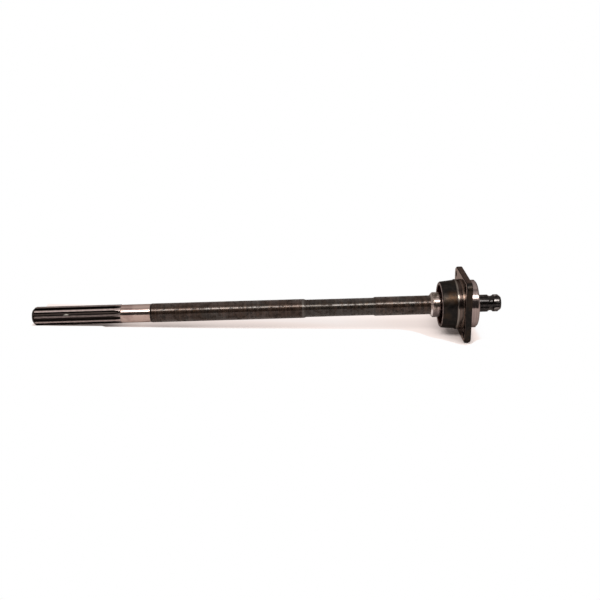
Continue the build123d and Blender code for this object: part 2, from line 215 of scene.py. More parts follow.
# %% Where the shadow is washed out
WASHED_OUT_NEAR = (
    (-900, 1.00), (-874, 1.00), (-868, 0.00), (-730, 0.00), (-715, 0.04), (-690, 0.22),
    (-650, 0.34), (-600, 0.28), (-560, 0.30), (-490, 0.48), (-410, 0.54), (-330, 0.68),
    (-250, 0.78), (-160, 0.80), (-100, 0.76), (-80, 0.72), (-59, 0.60), (-47, 0.40),
    (-34, 0.20), (-22, 0.05), (12, 0.00), (22, 0.45), (29, 0.74), (41, 0.96), (60, 1.00))
WASHED_OUT_FAR = (
    (-900, 1.00), (-874, 1.00), (-868, 0.00), (-730, 0.00), (-715, 0.35), (-690, 0.60),
    (-650, 0.75), (-490, 0.82), (-250, 0.84), (-160, 0.80), (-100, 0.76), (-80, 0.74),
    (-59, 0.64), (-47, 0.50), (-34, 0.33), (-22, 0.05), (12, 0.00), (22, 0.45), (29, 0.74),
    (41, 0.96), (60, 1.00))
CUT_LINE = (
    (-900, -3), (-820, -2), (-730, 1), (-725, -4), (-700, -2), (-640, -1), (-530, 0),
    (-430, 3), (-330, 7), (-225, 10), (-140, 13), (-120, 12), (-100, 6), (-83, -6),
    (-65, -24), (-54, -31), (-43, -36), (-32, -44), (-21, -53), (-11, -60), (0, -64),
    (12, -58), (22, -45), (29, -36), (41, -30), (60, -30))
FAR_SIDE = 45 * MM
CUT_WIDTH = 4 * MM
WHITE_BEHIND = (80 * MM, 130 * MM)

paper = bpy.data.materials.new("white_paper")
paper.use_nodes = True
tree = paper.node_tree
place_on_table = add_node(tree, "ShaderNodeTexCoord").outputs["Object"]
parts = add_node(tree, "ShaderNodeSeparateXYZ", {0: place_on_table})
along, back = parts.outputs["X"], parts.outputs["Y"]
station = calc(tree, "DIVIDE", along, MM)
cut_line = calc(tree, "MULTIPLY", graph(tree, station, CUT_LINE), MM)
to_far_side = spread(tree, back, 0.0, FAR_SIDE)
near, far = graph(tree, station, WASHED_OUT_NEAR), graph(tree, station, WASHED_OUT_FAR)
shadow_lost = mix_values(tree, to_far_side, near, far)
before = spread(tree, calc(tree, "SUBTRACT", cut_line, back), -CUT_WIDTH / 2, CUT_WIDTH / 2)
behind = remap(tree, back, *WHITE_BEHIND)
washed_out = either(tree, shadow_lost, before, behind)
print("all white from", round(WHITE_BEHIND[1] / MM), "mm behind the shaft")

# %% [markdown]
# The paper itself is two surfaces in one: plain paper, and a glow that takes over where the
# shadow is washed out. The glow is rosy where some shadow is left, and white elsewhere.
# In the bright steel the photograph shows a greyer paper than on the table. So rays that
# come off metal get a greyer paper, and only a small part of the glow.

# %% The white paper
PAPER, PAPER_IN_METAL = (0.87, 0.82, 0.815, 1.0), (0.61, 0.565, 0.555, 1.0)
PAPER_ROUGHNESS, PAPER_SHINE = 0.9, 0.1
GLOW_IN_METAL = 0.05
ROSY, WHITE = (1.0, 0.876, 0.828, 1.0), (1.0, 1.0, 1.0, 1.0)
ROSY_TO_WHITE = (0.75, 0.97)

path = add_node(tree, "ShaderNodeLightPath").outputs
off_metal = calc(tree, "MULTIPLY", path["Is Glossy Ray"], GLOW_IN_METAL)
seen_by = either(tree, path["Is Camera Ray"], off_metal, path["Is Transmission Ray"])

shader = tree.nodes["Principled BSDF"]
shader.inputs["Roughness"].default_value = PAPER_ROUGHNESS
shader.inputs["Specular IOR Level"].default_value = PAPER_SHINE
paper_colour = mix_colours(tree, path["Is Glossy Ray"], PAPER, PAPER_IN_METAL)
tree.links.new(paper_colour, shader.inputs["Base Color"])
glow_colour = mix_colours(tree, remap(tree, washed_out, *ROSY_TO_WHITE), ROSY, WHITE)
glow = add_node(tree, "ShaderNodeEmission", {"Color": glow_colour})
surfaces = {0: both(tree, seen_by, washed_out), 1: shader.outputs[0], 2: glow.outputs[0]}
mixed = add_node(tree, "ShaderNodeMixShader", surfaces)
tree.links.new(mixed.outputs[0], tree.nodes["Material Output"].inputs["Surface"])
table.data.materials.append(paper)
print("paper made with", len(tree.nodes), "nodes")

# %% [markdown]
# Polished steel shows the room more than itself. On the bright ring behind the flange the
# photograph shows what that room was: a soft box high on the camera's side, dark behind the
# camera, and pale walls above and behind, all of it a little warm. The world is painted in
# bands to match, by the angle of each direction about the shaft: 0 degrees is level on the
# camera's side, and 90 is straight up. A real area lamp hangs in the brightest band.

# %% The room: bands of light about the shaft
ROOM_BANDS = (
    (-180, 0.42),
    (-90, 0.30),
    (-4, 0.05),
    (32, 0.05),
    (43, 0.70),
    (60, 0.86),
    (78, 0.70),
    (84, 0.35),
    (90, 0.35),
    (97, 0.72),
    (120, 0.60),
    (180, 0.46),
)
ROOM_TINT, BLACK = (1.0, 0.91, 0.87, 1.0), (0.0, 0.0, 0.0, 1.0)

world = bpy.data.worlds.new("studio_room")
bpy.context.scene.world = world
world.use_nodes = True
tree = world.node_tree
direction = add_node(tree, "ShaderNodeTexCoord").outputs["Generated"]
parts = add_node(tree, "ShaderNodeSeparateXYZ", {0: direction})
toward_camera = calc(tree, "MULTIPLY", parts.outputs["Y"], -1.0)
angle = calc(tree, "ARCTAN2", parts.outputs["Z"], toward_camera)
brightness = graph(tree, calc(tree, "DEGREES", angle), ROOM_BANDS)
painted = mix_colours(tree, brightness, BLACK, ROOM_TINT)
to_camera = add_node(tree, "ShaderNodeLightPath").outputs["Is Camera Ray"]
room = mix_colours(tree, to_camera, painted, WHITE)
tree.links.new(room, tree.nodes["Background"].inputs["Color"])
print("room bands:", len(ROOM_BANDS))

# %% The soft box
SOFT_BOX_AIM = Vector((-0.05, 0, 0))
SOFT_BOX_DIRECTION = Vector((0, -0.61, 0.79)).normalized()
SOFT_BOX_DISTANCE = 1.45
SOFT_BOX_SIZE = (2.6, 0.35)
SOFT_BOX_POWER = 26.5
SOFT_BOX_TINT = (1.0, 0.96, 0.92)

bpy.ops.object.light_add(type="AREA")
soft_box = bpy.context.object
soft_box.name = "soft_box"
soft_box.data.shape = "RECTANGLE"
soft_box.data.size, soft_box.data.size_y = SOFT_BOX_SIZE
soft_box.data.energy = SOFT_BOX_POWER
soft_box.data.color = SOFT_BOX_TINT
box_right = Vector((1, 0, 0)) - SOFT_BOX_DIRECTION * SOFT_BOX_DIRECTION.x
box_right.normalize()
box_up = SOFT_BOX_DIRECTION.cross(box_right)
box_turn = Matrix((box_right, box_up, SOFT_BOX_DIRECTION)).transposed().to_4x4()
box_place = SOFT_BOX_AIM + SOFT_BOX_DIRECTION * SOFT_BOX_DISTANCE
soft_box.matrix_world = Matrix.Translation(box_place) @ box_turn
print("soft box at", [round(v, 2) for v in box_place])

# %% [markdown]
# Every finish on this object was made on a lathe, in a mould or in a press, and several of
# them share the same marks. Each shared mark becomes a node group, built once and placed in
# each material with its own values. All of them start from the place on the piece, in metres.
# The first group answers a plain question: is this place between two stations of the shaft?

# %% Group: between two stations
NUMBER, PLACE = "NodeSocketFloat", "NodeSocketVector"
HALF_AN_EDGE = (-0.5, 0.5)


def new_group(name, inputs, outputs):
    """An empty shader group, with its named sockets and its two end nodes."""
    group = bpy.data.node_groups.new(name, "ShaderNodeTree")
    for socket, kind in inputs.items():
        group.interface.new_socket(socket, in_out="INPUT", socket_type=kind)
    for socket, kind in outputs.items():
        group.interface.new_socket(socket, in_out="OUTPUT", socket_type=kind)
    start = group.nodes.new("NodeGroupInput").outputs
    end = group.nodes.new("NodeGroupOutput").inputs
    return group, start, end


stations, start, end = new_group(
    "between_stations",
    {"Place": PLACE, "From": NUMBER, "To": NUMBER, "Edge": NUMBER},
    {"Mask": NUMBER})
along = add_node(stations, "ShaderNodeSeparateXYZ", {0: start["Place"]}).outputs["X"]
past_from = calc(stations, "SUBTRACT", along, start["From"])
before_to = calc(stations, "SUBTRACT", start["To"], along)
nearer_end = calc(stations, "MINIMUM", past_from, before_to)
inward = calc(stations, "DIVIDE", nearer_end, start["Edge"])
stations.links.new(remap(stations, inward, *HALF_AN_EDGE), end["Mask"])
print("group", stations.name)


# %% [markdown]
# The second group does the same for the distance from the shaft's axis. It tells the top of
# a spline tooth from the bottom of the space beside it, and a turned land from its relief.

# %% Group: beyond a radius
def vector_step(tree, operation, *vectors):
    """The outputs of one Vector Math node: Vector, or Value where it gives a number."""
    return add_node(
        tree, "ShaderNodeVectorMath", enumerate(vectors), operation=operation).outputs


def from_axis(tree, place):
    """The arrow to a place that stands square on the shaft's axis."""
    parts = add_node(tree, "ShaderNodeSeparateXYZ", {0: place}).outputs
    return add_node(tree, "ShaderNodeCombineXYZ", {1: parts["Y"], 2: parts["Z"]}).outputs[0]


beyond, start, end = new_group(
    "beyond_radius",
    {"Place": PLACE, "Radius": NUMBER, "Edge": NUMBER},
    {"Mask": NUMBER})
radius = vector_step(beyond, "LENGTH", from_axis(beyond, start["Place"]))["Value"]
outward = calc(beyond, "SUBTRACT", radius, start["Radius"])
outward = calc(beyond, "DIVIDE", outward, start["Edge"])
beyond.links.new(remap(beyond, outward, *HALF_AN_EDGE), end["Mask"])
print("group", beyond.name)

# %% [markdown]
# The third group tells a floor from a wall. Where the surface faces straight away from the
# axis, as a tooth's top and a space's floor do, it gives 1, and on a tooth's flank it nears 0.

# %% Group: facing outwards
FLANK_TO_FLOOR = (0.90, 0.985)

facing, start, end = new_group(
    "facing_outwards",
    {"Place": PLACE, "Normal": PLACE},
    {"Mask": NUMBER})
straight_out = vector_step(facing, "NORMALIZE", from_axis(facing, start["Place"]))["Vector"]
meeting = vector_step(facing, "DOT_PRODUCT", straight_out, start["Normal"])["Value"]
alignment = calc(facing, "ABSOLUTE", meeting)
facing.links.new(remap(facing, alignment, *FLANK_TO_FLOOR), end["Mask"])
print("group", facing.name)

# %% [markdown]
# A lathe tool leaves rings round the work. They are all but constant round the shaft and
# change quickly along it, so they are noise that is squeezed hard along X.
# Fine gives single tool marks, and Bands the broader stripes where the tool chattered or
# the bar was touched up.

# %% Group: turning marks
ACROSS_SCALE = 14.0
FINE_DETAIL, FINE_RANGE = 2.0, (0.3, 0.7)
BANDS_SCALE, BANDS_DETAIL, BANDS_RANGE = 0.16, 3.0, (0.32, 0.68)

turning, start, end = new_group(
    "turning_marks",
    {"Place": PLACE, "Pitch": NUMBER},
    {"Fine": NUMBER, "Bands": NUMBER})
along_scale = calc(turning, "DIVIDE", 1.0, start["Pitch"])
squeeze = add_node(
    turning, "ShaderNodeCombineXYZ", {0: along_scale, 1: ACROSS_SCALE, 2: ACROSS_SCALE})
rings = vector_step(turning, "MULTIPLY", start["Place"], squeeze.outputs[0])["Vector"]
fine = add_node(
    turning, "ShaderNodeTexNoise", {"Vector": rings, "Scale": 1.0, "Detail": FINE_DETAIL})
turning.links.new(remap(turning, fine.outputs[0], *FINE_RANGE), end["Fine"])
bands = add_node(
    turning, "ShaderNodeTexNoise",
    {"Vector": rings, "Scale": BANDS_SCALE, "Detail": BANDS_DETAIL})
turning.links.new(remap(turning, bands.outputs[0], *BANDS_RANGE), end["Bands"])
print("group", turning.name)

# %% [markdown]
# Old oil and light rust sit in patches. A noise with much fine detail gives both their
# outline and their broken edges, and the part of it that is high enough is the patch.

# %% Group: patches
PATCH_DETAIL, PATCH_ROUGHNESS = 5.0, 0.62
NOISE_MIDDLE, PATCH_EDGE = 0.5, (0.44, 0.58)

patches, start, end = new_group(
    "patches",
    {"Place": PLACE, "Size": NUMBER, "Cover": NUMBER},
    {"Mask": NUMBER})
scale = calc(patches, "DIVIDE", 1.0, start["Size"])
noise = add_node(patches, "ShaderNodeTexNoise", {
    "Vector": start["Place"], "Scale": scale, "Detail": PATCH_DETAIL,
    "Roughness": PATCH_ROUGHNESS})
lift = calc(patches, "SUBTRACT", start["Cover"], NOISE_MIDDLE)
rise = calc(patches, "ADD", noise.outputs[0], lift)
patches.links.new(remap(patches, rise, *PATCH_EDGE), end["Mask"])
print("group", patches.name)


# %% [markdown]
# Each finish starts the same way. A new material gets one node that gives the place on the
# piece, and the values that are the same all over the surface are set on its shader. The
# groups are then placed under short names that say what each mask means.

# %% Starting a finish
def new_finish(name, **constants):
    """A material with its Principled shader, whose constant sockets are set here."""
    material = bpy.data.materials.new(name)
    material.use_nodes = True
    tree = material.node_tree
    add_node(tree, "ShaderNodeTexCoord", name="Place")
    shader = tree.nodes["Principled BSDF"]
    for socket, value in constants.items():
        shader.inputs[socket.replace("_", " ")].default_value = value
    return material, tree, shader


def place_group(tree, group, output, **values):
    """One use of a group, fed with the place on the piece and its own values."""
    node = add_node(tree, "ShaderNodeGroup", node_tree=group)
    tree.links.new(tree.nodes["Place"].outputs["Object"], node.inputs["Place"])
    for name, value in values.items():
        node.inputs[name].default_value = value
    return node.outputs[output]


def between(tree, start, end, edge):
    """1 between two stations along the shaft."""
    return place_group(tree, stations, "Mask", From=start, To=end, Edge=edge)


def outside(tree, radius, edge):
    """1 farther than a radius from the shaft's axis."""
    return place_group(tree, beyond, "Mask", Radius=radius, Edge=edge)


def in_patches(tree, size, cover):
    """1 in patches about as wide as size, and in more of them the higher cover is."""
    return place_group(tree, patches, "Mask", Size=size, Cover=cover)


def turned(tree, pitch, kind="Fine"):
    """Turning marks, in Fine rings or in broader Bands."""
    return place_group(tree, turning, kind, Pitch=pitch)


def axes_of(tree):
    """The X, Y and Z of the place on the piece."""
    place = tree.nodes["Place"].outputs["Object"]
    return add_node(tree, "ShaderNodeSeparateXYZ", {0: place}).outputs


print("finishes can be started")


# %% [markdown]
# A surface is painted in layers, as a real one is: first the bare metal, then what has come
# to lie on it, each layer with its own mask. The colours are written as they look on a
# screen, because that is how they are judged beside the photograph.

# %% Painting, and ending a finish
def seen(red, green, blue):
    """A colour as it is seen on a screen (0 to 255), as the linear colour that a shader wants."""
    def linear(value):
        value /= 255
        return value / 12.92 if value <= 0.04045 else ((value + 0.055) / 1.055) ** 2.4

    return (linear(red), linear(green), linear(blue), 1.0)


def layered(tree, mix, under, *layers):
    """under, with each layer (mask, over) laid on it in turn."""
    for mask, over in layers:
        under = mix(tree, mask, under, over)
    return under


def drive(tree, shader, **sockets):
    """Links outputs to the shader's sockets."""
    for socket, output in sockets.items():
        tree.links.new(output, shader.inputs[socket.replace("_", " ")])


def relief(tree, shader, height, depth):
    """Feeds a height, in parts of depth, to the shader's normal through a Bump node."""
    bump = add_node(tree, "ShaderNodeBump", {"Height": height, "Distance": depth})
    tree.links.new(bump.outputs[0], shader.inputs["Normal"])


def give(material, *names):
    """Puts a finish on pieces of the frame."""
    for name in names:
        for slot in nodes[name].material_slots:
            slot.material = material


print("mid grey on screen is", round(seen(128, 128, 128)[0], 3), "in a shader")

# %% [markdown]
# The shaft is one piece of steel with five finishes. The long bar was left rough turned and
# blackened. The neck behind the front spline, and the seats under the collar, bearing and
# seal, are bright. The spline spaces are dark, and the tops of the teeth are worn bright.
# The stub is black. One material holds them all, and this first cell finds where each lies.
# The masks at the two ends run far past them, so that they have no edge there.

# %% The shaft: where each finish lies
SPLINE_END, NECK_END = -685 * MM, -626 * MM
COLLAR_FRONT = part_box("bearing_collar")[0].x
STUB_START, REAR_END = 31 * MM, cad_high.x
FAR_PAST = 1.0
FRONT_TOOTH_TOP, STUB_TOOTH_TOP = 18.6 * MM, 16.8 * MM

shaft_finish, tree, shader = new_finish(
    "shaft_turned_steel", Specular_Tint=(0.6, 0.55, 0.5, 1.0), Coat_Roughness=0.10,
    Coat_IOR=1.6)
outwards = place_group(tree, facing, "Mask")
tree.links.new(tree.nodes["Place"].outputs["Normal"], outwards.node.inputs["Normal"])

front_spline = between(tree, FRONT_END - FAR_PAST, SPLINE_END, edge=1 * MM)
neck = between(tree, SPLINE_END, NECK_END, edge=1.2 * MM)
seats = between(tree, COLLAR_FRONT, STUB_START, edge=1 * MM)
stub = between(tree, STUB_START, REAR_END + FAR_PAST, edge=1 * MM)
turned_bright = either(tree, neck, seats)
tooth_tops = both(tree, outside(tree, FRONT_TOOTH_TOP, edge=0.5 * MM), outwards)
worn_tops = both(tree, front_spline, tooth_tops)
stub_tops = outside(tree, STUB_TOOTH_TOP, edge=0.6 * MM)
print("bar", round((COLLAR_FRONT - NECK_END) / MM), "mm long")

# %% [markdown]
# The marks of the tool and of use come in several sizes. A grey tinge and clouds of oil are
# tens of millimetres wide, brown rust, scuffs and rubbed spots only a few. The rings and the
# small marks break up the highlight, which on a real bar is never one clean line.

# %% The shaft: marks of the tool and of use
fine = turned(tree, pitch=0.9 * MM)
bands = turned(tree, pitch=1.0 * MM, kind="Bands")
tinge = in_patches(tree, size=44 * MM, cover=0.42)
clouds = in_patches(tree, size=30 * MM, cover=0.5)
brown = in_patches(tree, size=9 * MM, cover=0.38)
scuffs = in_patches(tree, size=8 * MM, cover=0.46)
rubbed = in_patches(tree, size=5 * MM, cover=0.46)
print("masks placed in", shaft_finish.name)

# %% [markdown]
# The blackened bar looks brown where the light catches it, and greyer in patches and along
# the thinner stretch in its middle. Two lines cross it. The shoulder where it meets the neck is
# painted almost black, and the edge where the thinner stretch begins is painted paler.

# %% The shaft: colours of the bar
MIDDLE_START, MIDDLE_END = -316 * MM, -172 * MM
SHOULDER = (NECK_END - 1 * MM, NECK_END + 2.6 * MM)
STEP_EDGE = (MIDDLE_START - 4 * MM, MIDDLE_START + 0.4 * MM)
BAR, BAR_GREYER = (seen(39, 28, 21), seen(65, 50, 42)), (seen(32, 28, 25), seen(56, 51, 46))
BAR_BROWN = seen(62, 46, 30)
BAR_SCUFFED = seen(30, 22, 17), seen(48, 37, 30)
# A painted dark line at the shoulder, and a painted pale line at the step's edge.
SHOULDER_DARK, STEP_PALE = seen(16, 11, 8), seen(80, 76, 72)

middle = between(tree, MIDDLE_START, MIDDLE_END, edge=6 * MM)
shoulder = between(tree, *SHOULDER, edge=0.6 * MM)
step_edge = between(tree, *STEP_EDGE, edge=1.2 * MM)
bar_colour = layered(
    tree, mix_colours, mix_colours(tree, bands, *BAR),
    (either(tree, tinge, middle), mix_colours(tree, bands, *BAR_GREYER)),
    (brown, BAR_BROWN),
    (scuffs, mix_colours(tree, bands, *BAR_SCUFFED)),
    (shoulder, SHOULDER_DARK),
    (step_edge, STEP_PALE))
print("bar coloured, thinner along", round((MIDDLE_END - MIDDLE_START) / MM), "mm")

# %% [markdown]
# The spaces of the front spline hold old oil, and their flanks are painted darker than their
# floors, as painted shade.
# One flank has a small bright chip. It is an ellipsoid about a point, so its mark is long
# along the tooth and narrow across it. The stub is black with paler rubbed spots, and the
# tops of its teeth are worn towards bare steel at the end that a yoke slides over.

# %% The shaft: colours of the teeth and the seats
# The first, darker colour goes on the flanks as painted shade; the second is the oily floor.
SPACE_OIL_AND_SHADE = seen(20, 17, 16), seen(42, 36, 34)
TOOTH_TOP = seen(164, 150, 147), seen(188, 175, 172)
CHIP = seen(226, 224, 214)
CHIP_AT = (-794 * MM, -16.2 * MM, 6.8 * MM)
CHIP_HALF = (7 * MM, 4 * MM, 2.4 * MM)
CHIP_EDGE = (1.0, 0.6)
TURNED = seen(206, 186, 178), seen(182, 160, 154)
STUB = seen(22, 20, 20), seen(54, 50, 48)
STUB_WORN = seen(158, 154, 152)
HEAD = (REAR_END - 14 * MM, REAR_END - 1 * MM)
HEAD_WEAR = (0.2, 0.9)

from_chip = vector_step(
    tree, "SUBTRACT", tree.nodes["Place"].outputs["Object"], CHIP_AT)["Vector"]
in_chip_halves = vector_step(tree, "DIVIDE", from_chip, CHIP_HALF)["Vector"]
from_chip = vector_step(tree, "LENGTH", in_chip_halves)["Value"]
chip = remap(tree, from_chip, *CHIP_EDGE)
space_oil_and_shade = mix_colours(tree, chip, mix_colours(tree, outwards, *SPACE_OIL_AND_SHADE), CHIP)

head = between(tree, *HEAD, edge=4 * MM)
head_worn = both(tree, head, stub_tops, mix_values(tree, rubbed, *HEAD_WEAR))
stub_colour = mix_colours(tree, head_worn, mix_colours(tree, rubbed, *STUB), STUB_WORN)
colour = layered(
    tree, mix_colours, bar_colour,
    (front_spline, space_oil_and_shade),
    (worn_tops, mix_colours(tree, bands, *TOOTH_TOP)),
    (turned_bright, mix_colours(tree, clouds, *TURNED)),
    (stub, stub_colour))
print("shaft coloured, with a chip", round(2 * CHIP_HALF[0] / MM), "mm long")

# %% [markdown]
# The shine tells the finishes apart as much as the colour does. A thin film of oil lies on
# the blackened bar and gives it its narrow highlight: that is the shader's coat, thinner in
# scuffs and clouds. The blackened skin isn't bare metal, so it is less metallic. The bright
# parts are dry, and their tool marks are shallow.

# %% The shaft: shine, oil and relief
BAR_GRAIN, SCUFF_GRAIN = (0.19, 0.28), 0.60
SPACE_GRAIN, BRIGHT_GRAIN, TOP_GRAIN, STUB_GRAIN = 0.40, 0.13, 0.32, 0.18
OIL, OIL_IN_MARKS, OIL_IN_CLOUDS = (0.86, 0.42), (0.75, 1.0), (1.0, 0.45)
SHOULDER_OIL, BARE_OIL, STUB_OIL = 0.1, 0.0, 0.4
BAR_METAL = 0.70
BANDS_HEIGHT, BRIGHT_HEIGHT = 1.5, 0.2
TOOL_MARK_DEPTH = 0.03 * MM

bright = either(tree, turned_bright, worn_tops)
bare = either(tree, bright, front_spline)
grain = layered(
    tree, mix_values, mix_values(tree, bands, *BAR_GRAIN),
    (scuffs, SCUFF_GRAIN), (front_spline, SPACE_GRAIN), (bright, BRIGHT_GRAIN),
    (worn_tops, TOP_GRAIN), (stub, STUB_GRAIN))
oil = both(
    tree, mix_values(tree, scuffs, *OIL), mix_values(tree, fine, *OIL_IN_MARKS),
    mix_values(tree, clouds, *OIL_IN_CLOUDS))
oil = layered(
    tree, mix_values, oil, (shoulder, SHOULDER_OIL), (bare, BARE_OIL), (stub, STUB_OIL))
metal = mix_values(tree, either(tree, bare, stub), BAR_METAL, 1.0)
drive(tree, shader, Base_Color=colour, Metallic=metal, Roughness=grain, Coat_Weight=oil)
height = calc(tree, "ADD", fine, calc(tree, "MULTIPLY", bands, BANDS_HEIGHT))
height = calc(tree, "MULTIPLY", height, mix_values(tree, bright, 1.0, BRIGHT_HEIGHT))
relief(tree, shader, height, TOOL_MARK_DEPTH)
give(shaft_finish, "pto_shaft")
print("shaft finished with", len(tree.nodes), "nodes")

# %% [markdown]
# The collar was turned bright and then handled with oily gloves, so its shine is mottled,
# with dark blotches above. Its underside is painted darker, as painted shade. Its front
# chamfer is rubbed clean, and is painted brightest below as a painted reflection.

# %% The collar
COLLAR, COLLAR_SMEARED = (seen(184, 170, 164), seen(200, 186, 180)), seen(154, 138, 132)
BLOTCH, BLOTCH_SHARE = seen(88, 82, 70), (0.85, 0.15)
# The underside colours are painted shade.
UNDERSIDE_SHADE = seen(130, 119, 118), seen(110, 99, 98)
UNDERSIDE_FADE = (2 * MM, -6 * MM)
# The chamfer's second, palest colour, used below, is a painted reflection.
CHAMFER_AND_GLINT, CHAMFER_LENGTH = (seen(170, 158, 150), seen(252, 246, 244)), 3.2 * MM
COLLAR_GRAIN, BLOTCH_GRAIN = (0.11, 0.17), 0.34
COLLAR_MARK_DEPTH = 0.01 * MM

collar_finish, tree, shader = new_finish("collar_bright_steel", Metallic=1.0)
fine = turned(tree, pitch=0.5 * MM)
smears = in_patches(tree, size=12 * MM, cover=0.5)
underside = remap(tree, axes_of(tree)["Z"], *UNDERSIDE_FADE)
blotches = both(
    tree, in_patches(tree, size=7 * MM, cover=0.48),
    mix_values(tree, underside, *BLOTCH_SHARE))
chamfer = between(
    tree, COLLAR_FRONT - FAR_PAST, COLLAR_FRONT + CHAMFER_LENGTH, edge=0.8 * MM)
colour = layered(
    tree, mix_colours, mix_colours(tree, fine, *COLLAR),
    (smears, COLLAR_SMEARED),
    (blotches, BLOTCH),
    (underside, mix_colours(tree, smears, *UNDERSIDE_SHADE)),
    (chamfer, mix_colours(tree, underside, *CHAMFER_AND_GLINT)))
grain = mix_values(tree, smears, *COLLAR_GRAIN)
grain = mix_values(tree, blotches, grain, BLOTCH_GRAIN)
drive(tree, shader, Base_Color=colour, Roughness=grain)
relief(tree, shader, fine, COLLAR_MARK_DEPTH)
give(collar_finish, "bearing_collar")
print("collar finished with", len(tree.nodes), "nodes")

# %% [markdown]
# The housing is one iron casting. Its skin kept the fine bumps of the sand mould, and oil
# and handling turned it brown-black. Only the faces that fit something were machined: the
# rim of the mouth, the pilot with its two lands, the flange's front face, and the spigot
# behind it. As with the shaft, the first cell finds where each of them lies. The bolt holes
# stand at the corners of a square, so one distance from the nearest corner finds all four.

# %% The housing: where each face lies
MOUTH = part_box("bearing_housing")[0].x
RIM_WIDTH = 0.7 * MM
PILOT, LAND_R = (-13 * MM, 0.0), 50.4 * MM
FRONT_FACE_AT = (-0.5 * MM, 0.4 * MM)
SPIGOT_START = 13 * MM
FILM_R = 40.6 * MM
BOLT_HOLE_AT, BOLT_HOLE_FADE = 48.083 * MM, (6.4 * MM, 6.1 * MM)

housing_finish, tree, shader = new_finish(
    "housing_cast_iron", Specular_Tint=(0.45, 0.43, 0.42, 1.0))
axes = axes_of(tree)
rim = between(tree, MOUTH - FAR_PAST, MOUTH + RIM_WIDTH, edge=0.6 * MM)
pilot = between(tree, *PILOT, edge=0.5 * MM)
lands = both(tree, pilot, outside(tree, LAND_R, edge=0.4 * MM))
front_face = between(tree, *FRONT_FACE_AT, edge=0.3 * MM)
spigot = between(tree, SPIGOT_START, REAR_END, edge=0.5 * MM)
turned_faces = either(tree, rim, front_face, spigot)
machined = either(tree, turned_faces, pilot)
inside = calc(tree, "SUBTRACT", 1.0, outside(tree, FILM_R, edge=0.6 * MM))
from_hole = add_node(tree, "ShaderNodeCombineXYZ", {
    axis: calc(tree, "SUBTRACT", calc(tree, "ABSOLUTE", axes[axis]), BOLT_HOLE_AT)
    for axis in "YZ"})
from_hole = vector_step(tree, "LENGTH", from_hole.outputs[0])["Value"]
holes = remap(tree, from_hole, *BOLT_HOLE_FADE)
print("cup", round((PILOT[0] - MOUTH) / MM), "mm long in front of the pilot")

# %% [markdown]
# The cast skin is almost black, browner in wide patches and dusty in small ones. On the rear
# of the cup, between two heights, a brown band lies where the soft box's highlight falls: part
# oil stain, part painted highlight. The flange's top edge is painted paler, and inside the cup
# old grease has left a red-brown film.

# %% The housing: colours of the cast skin
SKIN, SKIN_BROWN = (seen(32, 31, 30), seen(42, 39, 37)), seen(50, 42, 35)
# A brown band where the highlight falls: part oil stain, part painted highlight.
OIL_AND_PAINTED_SHEEN = seen(51, 38, 27), seen(42, 34, 28)
CUP_REAR = (-30 * MM, -12 * MM)
SHEEN_BAND_BOTTOM, SHEEN_BAND_TOP = (12 * MM, 22 * MM), (42 * MM, 34 * MM)
# The flange's top edge is painted paler.
TOP_EDGE = seen(72, 58, 53), seen(92, 78, 68)
TOP_EDGE_FADE = (flange_half - 0.8 * MM, flange_half - 0.2 * MM)
GREASE_FILM = seen(88, 44, 28)

brown = in_patches(tree, size=50 * MM, cover=0.46)
dusty = in_patches(tree, size=8 * MM, cover=0.46)
# The band's two heights bracket the soft box's highlight on the cup.
oil_and_painted_sheen = both(
    tree, between(tree, *CUP_REAR, edge=14 * MM), remap(tree, axes["Z"], *SHEEN_BAND_BOTTOM),
    remap(tree, axes["Z"], *SHEEN_BAND_TOP))
top_edge = remap(tree, axes["Z"], *TOP_EDGE_FADE)
skin_colour = layered(
    tree, mix_colours, mix_colours(tree, dusty, *SKIN),
    (brown, SKIN_BROWN),
    (oil_and_painted_sheen, mix_colours(tree, dusty, *OIL_AND_PAINTED_SHEEN)),
    (top_edge, mix_colours(tree, dusty, *TOP_EDGE)),
    (inside, GREASE_FILM))
print("cast skin coloured")

# %% [markdown]
# The machined faces are paler, and each has its own tone. The pilot's relief is stained, and
# is painted darker towards the top; its lands are a little cleaner. The flange's front face is
# the palest, but for a strip down its near side that is painted dark as shade. The bolt holes
# are painted dark as the shade inside them.

# %% The housing: colours of the machined faces
MACHINED = seen(148, 134, 131), seen(170, 157, 153)
LAND = seen(122, 116, 109), seen(140, 134, 127)
# The pilot's relief is painted darker towards the top.
STAINED, PILOT_DARKER_ABOVE = (seen(104, 92, 86), seen(82, 66, 54)), seen(76, 65, 61)
ABOVE_FADE = (4 * MM, 16 * MM)
# The second colour is a strip down the face's near side, painted dark as shade.
FRONT_FACE, FACE_STRIP_SHADE = seen(194, 175, 165), seen(70, 58, 52)
NEAR_SIDE, STRIP_TOP = (-50 * MM, -56 * MM), (42 * MM, 30 * MM)
# Painted shade inside the bolt holes.
BOLT_HOLE_SHADE = seen(18, 12, 9)

fine = turned(tree, pitch=0.7 * MM)
above = remap(tree, axes["Z"], *ABOVE_FADE)
face_strip_shade = both(
    tree, remap(tree, axes["Y"], *NEAR_SIDE), remap(tree, axes["Z"], *STRIP_TOP))
pilot_colour = mix_colours(tree, above, mix_colours(tree, brown, *STAINED), PILOT_DARKER_ABOVE)
colour = layered(
    tree, mix_colours, skin_colour,
    (pilot, pilot_colour),
    (lands, mix_colours(tree, fine, *LAND)),
    (turned_faces, mix_colours(tree, fine, *MACHINED)),
    (front_face, mix_colours(tree, face_strip_shade, FRONT_FACE, FACE_STRIP_SHADE)),
    (holes, BOLT_HOLE_SHADE))
print("machined faces coloured")

# %% [markdown]
# Last come the housing's shine and relief. The skin is bumpy with sand grains and only partly
# metallic, while the machined faces are smooth and keep faint turning marks.

